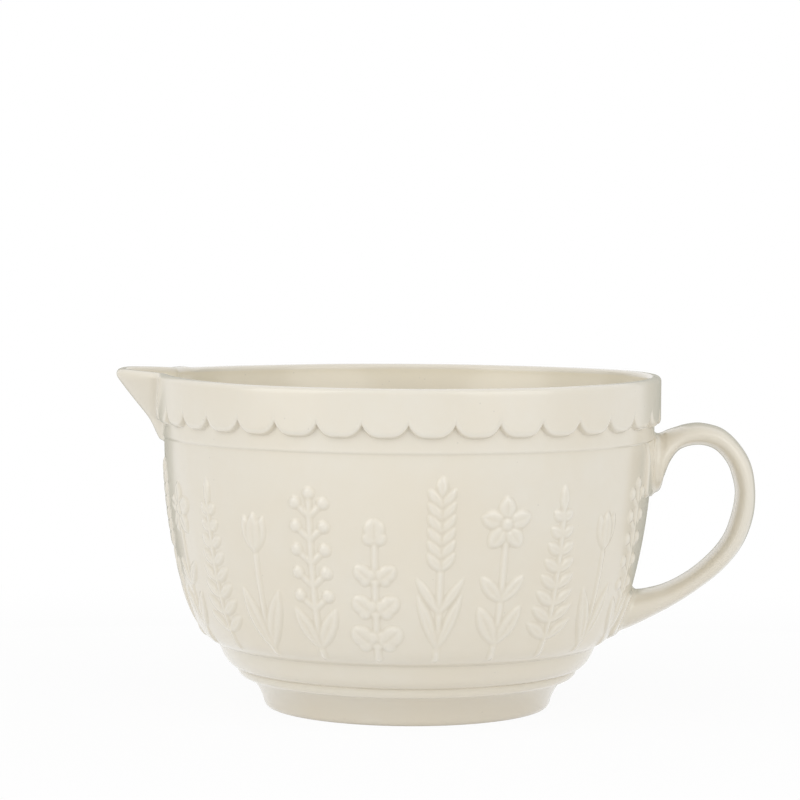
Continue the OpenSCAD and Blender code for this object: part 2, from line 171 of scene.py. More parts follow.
def rim_lift(theta, z):
    """The rim rises a little towards the pouring lip and the handle."""
    from_lip = np.abs((np.asarray(theta, float) - SPOUT_ANGLE + 180) % 360 - 180)
    from_handle = np.abs((np.asarray(theta, float) - HANDLE_ANGLE + 180) % 360 - 180)
    rise = 1.3 * (1 - smooth(from_lip / 60)) + 1.0 * (1 - smooth(from_handle / 70))
    return rise * smooth((z - 138) / (LIP_Z - 138))


# The scalloped skirt of the band: distance inside its edge, and its height off the fascia
def lobe(theta):
    """The place across a scallop, from -1 at one cusp to 1 at the next."""
    return 2 * ((np.asarray(theta, float) / SCALLOP_ANGLE) % 1) - 1


def scallop_edge(theta):
    return SCALLOP_Z + SCALLOP_D * np.abs(lobe(theta)) ** SCALLOP_POWER


def scallop_inside(theta, z):
    across = RIM_R * math.radians(SCALLOP_ANGLE / 2)
    steep = SCALLOP_D * SCALLOP_POWER * np.abs(lobe(theta)) ** (SCALLOP_POWER - 1) / across
    return (z - scallop_edge(theta)) / np.sqrt(1 + (0.9 * steep) ** 2)


def band_rise(theta, z):
    """A quarter round, steep at the scallops' edge and soft where it reaches the band's face."""
    u = np.clip((scallop_inside(theta, z) + 0.55) / 3.5, 0, 1)
    return (RIM_R - FASCIA_R) * np.sqrt(1 - (1 - u) ** 2) * smooth(u / 0.36)


def fascia_face(z):
    return wall_outer(z) + (FASCIA_R - WALL_R) * smooth((z - 125.6) / 1.2)


def sunk(rise):
    """A raised surface, with its flat surroundings a little under the surface that carries it."""
    return rise - 0.05 * (1 - smooth(rise / 0.12))


# Mesh building
def make_piece(name, verts, faces, layers=(), flip=None):
    """A mesh piece from points in millimetres and faces as an array or a list of index tuples."""
    verts = np.asarray(verts, float)
    lists = faces.tolist() if isinstance(faces, np.ndarray) else list(faces)
    if flip is None:
        tri = np.array([(f[0], f[i], f[i + 1]) for f in lists for i in range(1, len(f) - 1)])
        a, b, c = verts[tri[:, 0]], verts[tri[:, 1]], verts[tri[:, 2]]
        flip = float((a * np.cross(b, c)).sum()) < 0
    if flip:
        lists = [f[::-1] for f in lists]
    mesh = bpy.data.meshes.new(name)
    mesh.from_pydata((verts * MM).tolist(), [], lists)
    mesh.update()
    for key, values in layers:
        layer = mesh.attributes.new(key, "FLOAT", "POINT")
        layer.data.foreach_set("value", np.asarray(values, np.float32))
    mesh.polygons.foreach_set("use_smooth", [True] * len(mesh.polygons))
    mesh.set_sharp_from_angle(angle=math.radians(48))
    piece = bpy.data.objects.new(name, mesh)
    bpy.context.scene.collection.objects.link(piece)
    return piece


def turned(r, theta, z):
    a = np.radians(theta)
    return np.stack([r * np.sin(a), -r * np.cos(a), z + 0 * r], -1)


def loft(loops, ring):
    """Points and faces of closed loops joined one to the next, with end caps unless it is a ring."""
    n, m, _ = loops.shape
    i = np.arange(n if ring else n - 1)[:, None]
    j = np.arange(m)[None, :]
    i2, j2 = (i + 1) % n, (j + 1) % m
    faces = np.stack([i * m + j, i2 * m + j, i2 * m + j2, i * m + j2], -1).reshape(-1, 4).tolist()
    if not ring:
        faces.append(list(range(m - 1, -1, -1)))
        faces.append(list(range((n - 1) * m, n * m)))
    return loops.reshape(-1, 3), faces


def joined(parts):
    """Several sets of points and faces as one."""
    verts, faces, at = [], [], 0
    for v, f in parts:
        verts.append(v)
        faces += [[k + at for k in g] for g in f]
        at += len(v)
    return np.concatenate(verts), faces


def dense(points, step):
    """A line of points with none further apart than step."""
    out = [np.asarray(points[0], float)]
    for p in points[1:]:
        p = np.asarray(p, float)
        n = max(1, int(math.ceil(np.linalg.norm(p - out[-1]) / step)))
        a = out[-1]
        out += [a + (p - a) * k / n for k in range(1, n + 1)]
    return np.array(out)


def rounded(points, radii, steps=6):
    """A line of points whose corners are rounded by the radius given for each."""
    pts = [np.asarray(p, float) for p in points]
    out = []
    for k, p in enumerate(pts):
        r = radii.get(k, 0)
        if not r or k in (0, len(pts) - 1):
            out.append(p)
            continue
        a, b = pts[k - 1] - p, pts[k + 1] - p
        la, lb = np.linalg.norm(a), np.linalg.norm(b)
        a, b = a / la, b / lb
        half = math.acos(max(-1, min(1, float(a @ b)))) / 2
        cut = min(r / math.tan(half), 0.48 * la, 0.48 * lb)
        rr = cut * math.tan(half)
        mid = (a + b) / np.linalg.norm(a + b)
        c = p + mid * rr / math.sin(half)
        start, end = p + a * cut - c, p + b * cut - c
        a0 = math.atan2(start[1], start[0])
        turn = (math.atan2(end[1], end[0]) - a0 + math.pi) % (2 * math.pi) - math.pi
        out += [c + rr * np.array([math.cos(a0 + turn * t / steps), math.sin(a0 + turn * t / steps)])
                for t in range(steps + 1)]
    return out


def low_swell(p, q, rise, steps):
    """A bulge between two points whose fullest place is nearer to the first."""
    p, q = np.asarray(p, float), np.asarray(q, float)
    run = q - p
    side = np.array([run[1], -run[0]]) / np.linalg.norm(run)
    t = np.linspace(0, 1, steps + 1)[:, None]
    return list(p + run * t + side * rise * np.sin(math.pi * t ** 0.72))


def swell(p, q, rise, steps):
    p, q = np.asarray(p, float), np.asarray(q, float)
    run = q - p
    half = np.linalg.norm(run) / 2
    r = (half ** 2 + rise ** 2) / (2 * rise)
    side = np.array([run[1], -run[0]]) / (2 * half)
    c = (p + q) / 2 + (rise - r) * side
    middle, spread = math.atan2(side[1], side[0]), math.asin(min(1, half / abs(r)))
    if rise < 0:
        middle, spread = middle + math.pi, -spread
    return [c + abs(r) * np.array([math.cos(middle - spread + 2 * spread * k / steps),
                                   math.sin(middle - spread + 2 * spread * k / steps)])
            for k in range(steps + 1)]


def ring_piece(name, profile, segs, hollow=None):
    """A closed profile turned into a full ring."""
    profile = np.asarray(profile, float)
    theta = np.arange(segs) * 360 / segs
    loops = turned(np.broadcast_to(profile[None, :, 0], (segs, len(profile))), theta[:, None],
                   profile[None, :, 1])
    verts, faces = loft(loops, True)
    values = np.tile(hollow(profile) if hollow else np.zeros(len(profile)), segs)
    return make_piece(name, verts, faces, [("hollow", values)])


# Foot, bead and base moulding: one line under one glaze, parted at the bottoms of its grooves
def base_r(share):
    return FOOT_R + share * (TOE_R - FOOT_R)


def base_line():
    """The outer line from the wall to the foot's edge, softened, and its three lowest groove points."""
    wall = [(float(wall_outer(z)), z) for z in np.linspace(40, WALL_Z, 30)]
    moulding = low_swell((base_r(0.285), MOULDING_Z + 0.1), (base_r(0.965), WALL_Z - 0.9), 2.3, 30)[::-1]
    bead = swell((base_r(0.03), BEAD_Z), (base_r(0.375), MOULDING_Z - 0.7), 1.35, 20)[::-1]
    cove = swell((FOOT_R, BEAD_Z), (FOOT_R - FOOT_TAPER, FOOT_EDGE_R), 1.0, 20)
    centre = np.array([FOOT_LAND_R, FOOT_EDGE_R])
    edge = [centre + FOOT_EDGE_R * leaned(a) for a in np.linspace(0, math.pi / 2, 12)]
    corner_a = (base_r(0.98), WALL_Z - 0.12)
    corner_b = (bead[0][0] + 0.15, MOULDING_Z + 0.45)
    corner_c = (FOOT_R + 0.1, BEAD_Z)
    line = dense(wall + [corner_a] + moulding[1:-1] + [corner_b] + bead + [corner_c] + cove[1:]
                 + edge[1:], 0.1)
    n = 22
    weight = np.exp(-0.5 * (np.arange(-n, n + 1) / 7.5) ** 2)
    weight /= weight.sum()
    padded = np.concatenate([np.repeat(line[:1], n, 0), line, np.repeat(line[-1:], n, 0)])
    soft = sum(w * padded[i:i + len(line)] for i, w in enumerate(weight))
    soft[:n], soft[-n:] = line[:n], line[-n:]
    cuts = [int(np.argmin(np.hypot(*(line - c).T))) for c in (corner_a, corner_b, corner_c)]
    return soft, cuts


BASE_LINE, BASE_CUTS = base_line()


def base_painted_shade(points, outer):
    """Painted shade near each point of the base's line: darker in its grooves and under the moulding's
    lower side.
    """
    near = sum(np.exp(-(np.hypot(*(points - BASE_LINE[c]).T) / 1.3) ** 2) for c in BASE_CUTS)
    z = points[:, 1]
    under = 0.75 * np.exp(-((z - MOULDING_Z - 0.4) / 2.2) ** 2) * (z > MOULDING_Z + 0.4)
    return np.where(outer, 0.32 * near + under, 0)


def thinned(run):
    """About every fifth point of a line, with both its ends."""
    count = int(len(run) / 4.5) + 2
    return run[np.unique(np.round(np.linspace(0, len(run) - 1, count)).astype(int))]


def base_ring(name, first, last):
    """The part of the base between two grooves, from the upper one down."""
    pick = thinned(BASE_LINE[first:last + 1])
    back = np.array([[pick[-1][0] - 5.5, pick[-1][1]], [pick[0][0] - 5.5, pick[0][1]]])
    profile = np.concatenate([pick, dense(np.concatenate([pick[-1:], back, pick[:1]]), 2.0)[1:-1]])
    outer = np.arange(len(profile)) < len(pick)
    return ring_piece(name, profile, 360, lambda q: base_painted_shade(q, outer))


def foot_ring():
    pick = thinned(BASE_LINE[BASE_CUTS[2]:])
    inside = rounded([(FOOT_LAND_R, 0.0), (FOOT_INNER_R, 0.0), (FOOT_INNER_R, 2.6),
                      (FOOT_INNER_R - 1.4, 3.95), (FOOT_INNER_R - 4, 3.95), (FOOT_INNER_R - 4, BEAD_Z),
                      (FOOT_R - 5, BEAD_Z)],
                     {1: 0.8, 2: 1.3, 3: 1.3})
    profile = np.concatenate([pick, dense([pick[-1]] + list(inside)[1:], 1.0)[1:]])
    outer = np.arange(len(profile)) < len(pick)
    return ring_piece("foot_ring", profile, 360, lambda q: base_painted_shade(q, outer))


# Bowl body: a closed shell to just over the middle of the spout's tail, and the wall above it
def lathe(profile, segs):
    """Points and faces of an open profile turned round, from one point on the axis to another."""
    inner = np.asarray(profile[1:-1], float)
    m = len(inner)
    theta = np.arange(segs) * 360 / segs
    body = turned(np.broadcast_to(inner[None, :, 0], (segs, m)), theta[:, None], inner[None, :, 1])
    verts = np.concatenate([body.reshape(-1, 3), [[0, 0, profile[0][1]], [0, 0, profile[-1][1]]]])
    faces = []
    for i in range(segs):
        k = (i + 1) % segs
        faces += [[i * m + j, k * m + j, k * m + j + 1, i * m + j + 1] for j in range(m - 1)]
        faces.append([segs * m, k * m, i * m])
        faces.append([segs * m + 1, i * m + m - 1, k * m + m - 1])
    return verts, faces


def bowl_body():
    toe = BASE_LINE[60:BASE_CUTS[0] + 1][::-1][::5]
    up = ([tuple(q) for q in toe]
          + [(wall_outer(z), z) for z in np.linspace(toe[-1][1] + 0.6, SPLIT_Z, 60)])
    sweep = [SWEEP_C + SWEEP_R * np.array([math.cos(a), math.sin(a)])
             for a in np.linspace(-HAUNCH_LEAN, -math.pi / 2, 60)]
    down = [(wall_inner(z), z) for z in np.linspace(SPLIT_Z, TURN[1], 34)[:-1]]
    base = [(0, 4), (FOOT_INNER_R - 1, 4), (FOOT_INNER_R - 1, BEAD_Z - 0.6), (CONE_LOW_R - 0.6, BEAD_Z),
            (CONE_HIGH_R - 0.6, WALL_Z - 0.4)]
    profile = list(dense(base, 3.5)) + up + down + sweep + list(dense([sweep[-1], (0, FLOOR_Z)], 3.0))[1:]
    low = lathe(profile, 360)
    theta = np.arange(SPOUT_ANGLE + SPOUT_HALF, SPOUT_ANGLE + 360 - SPOUT_HALF + 0.5, 1.0)
    outer = [(wall_outer(z), z) for z in np.linspace(SPLIT_Z, FASCIA_Z, 14)]
    inner = [(wall_inner(z), z) for z in np.linspace(BAND_SEAT_Z, SPLIT_Z, 28)]
    loop = np.array(outer + [(SEAT_R, FASCIA_Z), (SEAT_R, BAND_SEAT_Z)] + inner, float)
    high = loft(turned(np.broadcast_to(loop[None, :, 0], (len(theta), len(loop))), theta[:, None],
                       loop[None, :, 1]), False)
    verts, faces = joined([low, high])
    z = verts[:, 2]
    r = np.hypot(verts[:, 0], verts[:, 1])
    outside = (r > wall_outer(np.clip(z, WALL_Z, FASCIA_Z)) - 1) & (z >= WALL_Z - 0.1)
    # Painted shade in the crease at the wall's foot and under the fascia; inside, painted shade deeper
    # down and a mask for the painted bounce tone.
    painted_shade = 0.9 * np.exp(-(z - WALL_Z) / 1.4) + 0.6 * np.exp(-np.abs(z - FASCIA_Z) / 0.9)
    values = np.where(outside, painted_shade, 0)
    inside = (r < wall_inner(np.maximum(z, FLOOR_Z)) + 1.5) & (z > FLOOR_Z - 1)
    values = np.where(inside, inside_painted_shade(z), values)
    return make_piece("bowl_body", verts, faces, [("hollow", values), ("inner", inside * 1.0)], flip=False)


# Rim: the fascia, the band with its scalloped skirt, and the pouring lip between its ends
RIM_START, RIM_END = SPOUT_ANGLE + SPOUT_HALF, SPOUT_ANGLE + 360 - SPOUT_HALF


# Painted shade inside the bowl, darker further below the rim.
def inside_painted_shade(z):
    return 0.6 * smooth((151 - z) / 9)


def rim_fascia():
    theta = np.arange(RIM_START, RIM_END + 0.25, 0.5)[:, None]
    z = np.arange(125.4, BAND_SEAT_Z + 0.3, 0.4)[None, :]
    rise = fascia_face(z) - wall_outer(z)
    face = wall_outer(z) + sunk(rise) + 0 * theta
    back = np.broadcast_to(np.array([SEAT_R, SEAT_R])[None, :], (len(theta), 2))
    r = np.concatenate([face, back], 1)
    back_z = np.broadcast_to(np.array([z.max(), z.min()])[None, :], back.shape)
    zz = np.concatenate([z + 0 * theta, back_z], 1)
    # Painted shade below the scallops' edge and in the crease at the fascia's foot, with a painted
    # highlight just above that crease.
    near = -scallop_inside(theta, z)
    hollow = (0.5 * np.exp(-np.maximum(near, 0) / 0.8) - 0.3 * np.exp(-np.abs(z - 126.9) / 0.5)
              + 0.35 * np.exp(-np.abs(z - 125.9) / 0.3))
    hollow = np.concatenate([hollow, 0 * back], 1)
    verts, faces = loft(turned(r, theta, zz), False)
    return make_piece("rim_fascia", verts, faces, [("hollow", hollow.ravel())])


def lip_rows(outer, inner, z, steps=16):
    """The rounded lip from its outer to its inner shoulder, as radius and height per column."""
    phi = np.linspace(0, math.pi, steps + 1)[None, 1:-1]
    c, a = (outer + inner) / 2, (outer - inner) / 2
    return c + a * np.sign(np.cos(phi)) * np.abs(np.cos(phi)) ** 0.85, z + LIP_R * np.sin(phi) ** 0.85


def lip_painted_highlight(rows):
    """Painted highlight: lighter over the rounded lip."""
    return -0.6 * np.sin(np.linspace(0, math.pi, rows.shape[1]))[None, :] + 0 * rows


# Painted shade along the foot of the scallops' edge and a painted highlight on the rounded band above it.
def band_shade_and_highlight(theta, z):
    d = scallop_inside(theta, z)
    return 0.5 * np.exp(-((d + 0.25) / 0.45) ** 2) - 0.5 * np.exp(-((d - 1.5) / 0.8) ** 2)


def rim_band():
    theta = np.arange(RIM_START, RIM_END + 0.125, 0.25)[:, None]
    edge = scallop_edge(theta)
    near = np.concatenate([np.arange(-0.8, 1.19, 0.14), np.arange(1.3, 3.9, 0.32)])[None, :]
    far = np.linspace(0, 1, 13)[None, 1:]
    z_skirt = np.concatenate([edge + near, edge + 3.86 + (LIP_Z - edge - 3.86) * far], 1)
    r_skirt = FASCIA_R + sunk(band_rise(theta, z_skirt))
    lip_r, lip_z = lip_rows(r_skirt[:, -1:], wall_inner(LIP_Z) + 0 * theta, LIP_Z + 0 * theta)
    z_in = np.linspace(LIP_Z, BAND_SEAT_Z, 14)[None, :] + 0 * theta
    r_in = wall_inner(z_in)
    hide_r = np.full((len(theta), 2), SEAT_R + 1.0)
    hide_z = np.concatenate([np.full_like(edge, BAND_SEAT_Z), edge - 0.8], 1)
    r = np.concatenate([r_skirt, lip_r, r_in, hide_r], 1)
    z = np.concatenate([z_skirt, lip_z, z_in, hide_z], 1)
    # Painted shade and highlight on the skirt, a painted highlight on the lip and painted shade inside;
    # the inner mask takes the painted bounce tone.
    hollow = np.concatenate([band_shade_and_highlight(theta, z_skirt), lip_painted_highlight(lip_r), inside_painted_shade(z_in),
                             0 * hide_r], 1)
    inner = np.concatenate([0 * z_skirt, 0 * lip_r, 1 + 0 * r_in, 0 * hide_r], 1)
    verts, faces = loft(turned(r, theta, z + rim_lift(theta, z)), False)
    return make_piece("rim_band", verts, faces, [("hollow", hollow.ravel()), ("inner", inner.ravel())])


def spout():
    theta = np.arange(SPOUT_ANGLE - SPOUT_HALF, SPOUT_ANGLE + SPOUT_HALF + 0.1, 0.2)[:, None]
    s = spout_s(theta)
    reach = higher(RIM_R + 0 * s, beak(s, LIP_Z + 3), 2.4) - RIM_R
    pulled = reach / SPOUT_REACH
    level = np.concatenate([np.arange(SPLIT_Z, 120, 1.4), np.arange(120.2, LIP_Z - 0.1, 0.5),
                            [LIP_Z]])[None, :]
    lift = (1.1 * np.maximum(pulled, 0) ** 0.8
            + 0.8 * smooth((3 - s) / 10) * (1 - smooth((-s - 38) / 13)))
    z_out = level + lift * smooth((level - 132) / (LIP_Z - 132)) + rim_lift(theta, level)
    base = fascia_face(level) + band_rise(theta, level) * (level > 130)
    flank = beak(s, z_out)
    r_out = base + (higher(base, flank, spout_fillet(z_out)) - base) * smooth((level - 122.4) / 1.7)
    # Painted shade in the fold where the lip's flank meets the band.
    fold = np.clip(1 - np.abs(base - flank) / (spout_fillet(z_out) + 1.2), 0, 1)
    fold = fold * smooth((level - 128) / 8)
    level_in = np.linspace(LIP_Z, SPLIT_Z, 64)[None, :]
    z_in = level_in + lift * smooth((level_in - 132) / (LIP_Z - 132)) + rim_lift(theta, level_in)
    r_in = higher(wall_inner(level_in) + 0 * theta, beak(s, z_in, 6.0), 6.0)
    lip_r, lip_z = lip_rows(r_out[:, -1:], r_in[:, :1], z_out[:, -1:])
    r = np.concatenate([r_out, lip_r, r_in], 1)
    z = np.concatenate([z_out, lip_z, z_in], 1)
    free = 1 - smooth((r_out - base) / 0.6)
    # Painted shade and highlight as on the band, painted shade in the fold and under the fascia, a painted
    # highlight on the lip, painted shade inside.
    hollow = np.concatenate([band_shade_and_highlight(theta, level) * free * (level > 130) + 1.1 * fold
                             + 0.6 * np.exp(-np.abs(level - 125.9) / 0.3) * free,
                             lip_painted_highlight(lip_r), inside_painted_shade(level_in) + 0 * r_in], 1)
    inner = np.concatenate([0 * r_out, 0 * lip_r, 1 + 0 * r_in], 1)
    verts, faces = loft(turned(r, theta, z), False)
    return make_piece("spout", verts, faces, [("hollow", hollow.ravel()), ("inner", inner.ravel())])


# Handle: the solids' own bar, smoother, with a fillet where it meets the wall and the pads
HANDLE_SHARES = np.array([
    [-0.14, 0.94, -0.14, 0.672, 1.36], [0.06, 0.95, 0.05, 0.676, 1.34], [0.14, 0.965, 0.1, 0.737, 1.26],
    [0.23, 0.98, 0.16, 0.814, 1.14], [0.34, 0.995, 0.26, 0.875, 1.05], [0.48, 1, 0.43, 0.898, 1],
    [0.68, 0.974, 0.6, 0.879, 1], [0.845, 0.902, 0.73, 0.813, 1], [0.96, 0.803, 0.795, 0.728, 1],
    [1, 0.669, 0.812, 0.656, 1], [0.972, 0.544, 0.775, 0.56, 1], [0.87, 0.422, 0.703, 0.468, 1],
    [0.684, 0.31, 0.573, 0.386, 1], [0.433, 0.213, 0.383, 0.306, 1.02], [0.2, 0.14, 0.17, 0.247, 1.1],
    [-0.02, 0.083, -0.03, 0.218, 1.22], [-0.2, 0.041, -0.2, 0.209, 1.32], [-0.42, 0, -0.42, 0.2, 1.4]])
HANDLE_REACH, HANDLE_LOW_Z, HANDLE_H, GRIP_W, PAD_T = 48.3, 33.5, 99.6, 26.0, 1.5
UPPER_PAD = (100.7, 25.5, 66)
LOWER_PAD = (35.5, 20.0, 52)


def plate_inside(x, y, w, h, r):
    """Distance inside a plate with rounded corners that stands on y = 0."""
    qx, qy = np.abs(x) - (w / 2 - r), np.abs(y - h / 2) - (h / 2 - r)
    return r - np.hypot(np.maximum(qx, 0), np.maximum(qy, 0)) - np.minimum(np.maximum(qx, qy), 0)


def pad_rise(d):
    return PAD_T * smooth((d + 0.8) / 1.7)


def meets_fascia(low, h):
    return low + h > FASCIA_Z - 0.1


def pad_inside(y, z, low, h, w):
    """Distance inside a pad; the upper one runs into the fascia with a fillet in each corner."""
    if not meets_fascia(low, h):
        return plate_inside(y, z - low, w, h, 5)
    d = plate_inside(y, z - low, w, h + 12, 5)
    return higher(d, z - FASCIA_Z, 6.0)


def carrier(y, z):
    """The radius of what carries the handle at a place: the wall, a pad or the fascia."""
    r = wall_outer(np.clip(z, WALL_Z, FASCIA_Z))
    for low, h, w in (UPPER_PAD, LOWER_PAD):
        r = r + np.where(z < FASCIA_Z, pad_rise(pad_inside(y, z, low, h, w)), 0)
    return np.where(z > FASCIA_Z, np.maximum(r, FASCIA_R), r)


def handle():
    rows = []
    last = len(HANDLE_SHARES) - 1
    for k, steps in enumerate((12, 14, 14, 12, 10, 12, 12, 12, 12, 12, 12, 12, 14, 16, 18, 22, 14)):
        a, b, c, d = (HANDLE_SHARES[min(max(i, 0), last)] for i in (k - 1, k, k + 1, k + 2))
        for t in np.arange(steps) / steps:
            rows.append((2 * b + (c - a) * t + (2 * a - 5 * b + 4 * c - d) * t * t
                         + (3 * b - a - 3 * c + d) * t ** 3) / 2)
    rows.append(HANDLE_SHARES[last])
    rows = np.array(rows)
    sides = 72
    phi = np.linspace(0, 2 * math.pi, sides, endpoint=False)[None, :]
    px = lambda share: WALL_R + share * HANDLE_REACH
    pz = lambda share: HANDLE_LOW_Z + share * HANDLE_H
    outer = np.stack([px(rows[:, 0]), pz(rows[:, 1])], -1)[:, None, :]
    inner = np.stack([px(rows[:, 2]), pz(rows[:, 3])], -1)[:, None, :]
    mid, arm = (outer + inner) / 2, (outer - inner) / 2
    ex = 2 / 2.2
    cos, sin = np.cos(phi), np.sin(phi)
    u = np.sign(cos) * np.abs(cos) ** ex
    v = np.sign(sin) * np.abs(sin) ** ex
    half_w = (GRIP_W * rows[:, 4] / 2)[:, None]
    x = mid[..., 0] + arm[..., 0] * u
    z = mid[..., 1] + arm[..., 1] * u
    y = half_w * v
    thick = np.linalg.norm(arm, axis=-1)
    size = 2.6
    off = np.clip(np.hypot(x, y) - carrier(y, z), 0.0, size)
    grow = size - np.sqrt(size ** 2 - (size - off) ** 2 * 0.985)
    push = np.stack(np.broadcast_arrays(arm[..., 0] / thick * u, v, arm[..., 1] / thick * u), -1)
    push = push / np.maximum(np.linalg.norm(push, axis=-1, keepdims=True), 1e-6)
    loops = np.stack([x, y, z], -1) + push * grow[..., None] * 0.8
    # Both roots end in the middle of the wall, so nothing comes out inside the bowl
    deepest = wall_inner(loops[..., 2]) + WALL_T / 2
    least_x = np.sqrt(np.maximum(deepest ** 2 - loops[..., 1] ** 2, 0))
    loops[..., 0] = np.maximum(loops[..., 0], least_x)
    # Painted shade in the fillets at the roots and a painted highlight along the bar's outer and inner
    # edges.
    hollow = 0.45 * smooth(grow / 2.5) * (off > 0) - 0.25 * np.abs(u) ** 4
    verts, faces = loft(loops, False)
    return make_piece("handle", verts, faces, [("hollow", hollow.ravel())])


# Pads and relief: height fields that stand on the wall, closed on their hidden side
def blur(h, step, sigma):
    n = max(1, int(math.ceil(2.5 * sigma / step)))
    k = np.exp(-0.5 * (np.arange(-n, n + 1) * step / sigma) ** 2)
    k /= k.sum()
    for axis in (0, 1):
        pad = [(n, n) if a == axis else (0, 0) for a in (0, 1)]
        p = np.pad(h, pad, mode="edge")
        h = sum(w * np.take(p, range(i, i + h.shape[axis]), axis) for i, w in enumerate(k))
    return h


def wall_patch(x, y, height, angle, base_z):
    """A height field on the wall round an angle: x across and y up from base_z, in millimetres."""
    z = base_z + y
    r = wall_outer(z)
    n = wall_normal(z)
    theta = angle + np.degrees(np.arcsin(np.clip(x / r, -1, 1)))
    top = sunk(height)
    live = height > 0.012
    cell = live[:-1, :-1] | live[1:, :-1] | live[:-1, 1:] | live[1:, 1:]
    rows, cols = height.shape
    index = np.arange(rows * cols).reshape(rows, cols)
    quads = np.stack([index[:-1, :-1], index[:-1, 1:], index[1:, 1:], index[1:, :-1]], -1)[cell]
    used = np.unique(quads)
    renumber = np.full(rows * cols, -1)
    renumber[used] = np.arange(len(used))
    quads = renumber[quads]

    def surface(off):
        return turned((r + off * n[..., 0]), theta, z + off * n[..., 1]).reshape(-1, 3)[used]

    count = len(used)
    verts = np.concatenate([surface(top), surface(np.full_like(top, -HIDDEN_DEPTH))])
    edges = np.concatenate([quads[:, [0, 1]], quads[:, [1, 2]], quads[:, [2, 3]], quads[:, [3, 0]]])
    key = np.sort(edges, 1)
    _, first, number = np.unique(key[:, 0] * count + key[:, 1], return_index=True, return_counts=True)
    rim = edges[first[number == 1]]
    walls = np.stack([rim[:, 1], rim[:, 0], rim[:, 0] + count, rim[:, 1] + count], -1)
    faces = np.concatenate([quads, quads[:, ::-1] + count, walls])
    # Painted shade in the recesses round raised forms and a painted highlight on their tops.
    sunken = blur(height, PLANT_STEP, 1.1) - height
    hollow = np.clip(sunken / 0.45, -0.8, 0.6).reshape(-1)[used]
    return (verts, faces.tolist()), np.concatenate([hollow, 0 * hollow])


def pad(name, low, h, w):
    step, margin = 0.5, 1.5
    top = min(h + margin, FASCIA_Z - low - 0.01) if meets_fascia(low, h) else h + margin
    y, x = np.meshgrid(np.linspace(-margin, top, int((top + margin) / step) + 1),
                       np.arange(-w / 2 - 5, w / 2 + 5.01, step), indexing="ij")
    height = pad_rise(pad_inside(x, low + y, low, h, w))
    if meets_fascia(low, h):
        near = smooth((low + y - FASCIA_Z + 9) / 9)
        height = height * (1 - near * (1 - 0.75 / PAD_T))
    made, hollow = wall_patch(x, y, height, HANDLE_ANGLE, low)
    return make_piece(name, *made, [("hollow", hollow)], flip=False)


# The relief's plants are height fields of leaves, stems, grains, petals and berries
STEM_W, LEAF_L, LEAF_W, GRAIN_L, GRAIN_W = 2.2, 20, 7, 9, 4.4
PETAL_L, PETAL_W, BERRY_D, HEART_W = 11, 7.5, 5, 10


def almond(v, u, l, w):
    """Distance inside a leaf that is bounded by two arcs, w wide and l long from u = 0."""
    r = (l * l + w * w) / (4 * w)
    return np.minimum(r - np.hypot(v - (r - w / 2), u - l / 2),
                      r - np.hypot(v + (r - w / 2), u - l / 2))


class Plant:
    """A plant's height field, in millimetres, with its foot at the origin."""

    def __init__(self):
        self.y, self.x = np.meshgrid(np.arange(-1.8, PLANT_H + 1.6, PLANT_STEP),
                                     np.arange(-14.85, 14.9, PLANT_STEP), indexing="ij")
        self.h = np.zeros_like(self.x)

    def local(self, x0, y0, lean):
        a = math.radians(lean)
        dx, dy = self.x - x0, self.y - y0
        return dx * math.cos(a) + dy * math.sin(a), -dx * math.sin(a) + dy * math.cos(a)

    def lay(self, rise, d):
        """Lays a form over what is there, with a fine groove round it."""
        under = self.h * (1 - 0.4 * np.exp(-((d + 0.35) / 0.5) ** 2))
        self.h = np.maximum(under, rise)

    def leaf(self, x0, y0, lean, l, w, height=1.15, vein=0.4, ribs=0.0):
        v, u = self.local(x0, y0, lean)
        d = almond(v, u, l, w)
        rise = height * smooth((d + 0.55) / 1.3) * (0.9 + 0.12 * smooth(d / (w / 3)))
        inside = smooth((d - 0.2) / 0.8)
        rise = rise * (1 - vein * np.exp(-(v / 0.5) ** 2) * inside)
        if ribs:
            wave = np.cos(2 * math.pi * (u - 1.1 * np.abs(v)) / 2.6)
            rise = rise - ribs * inside * (0.5 + 0.5 * wave) ** 2
        self.lay(np.where(d > -0.6, rise, 0), d)

    def stem(self, l, x0=0.0, y0=0.0, lean=0.0, w=STEM_W, height=0.95):
        v, u = self.local(x0, y0, lean)
        d = w / 2 - np.hypot(v, np.maximum(np.maximum(-u, u - l), 0))
        self.h = np.maximum(self.h, height * smooth((d + 0.5) / 1.3))

    def berry(self, x0, y0, d_mm, height=1.35):
        d = d_mm / 2 - np.hypot(self.x - x0, self.y - y0)
        share = np.clip((d + 0.45) / (d_mm / 2 + 0.45), 0, 1)
        dome = np.sqrt(np.clip(1 - (1 - share) ** 2, 0, 1))
        self.lay(height * dome * smooth((d + 0.5) / 0.9), d)

    def pair(self, y, lean, l, w, **more):
        for side in (-1, 1):
            self.leaf(0, y, side * lean, l, w, **more)

    def done(self):
        return 0.92 * blur(self.h, PLANT_STEP, 0.5)


def wheat():
    p = Plant()
    p.stem(PLANT_H - GRAIN_L / 2)
    p.pair(0.06 * PLANT_H, 21, LEAF_L * 1.35, LEAF_W * 0.6)
    p.pair(0.26 * PLANT_H, 33, LEAF_L * 0.95, LEAF_W * 0.5)
    for i in range(5, -1, -1):
        p.pair(PLANT_H - 4.6 * GRAIN_L + i * 0.62 * GRAIN_L, 36, GRAIN_L * 1.1, GRAIN_W * 0.9,
               height=1.3, vein=0.3)
    p.leaf(0, PLANT_H - GRAIN_L, 0, GRAIN_L, GRAIN_W, height=1.3, vein=0.3)
    return p.done()


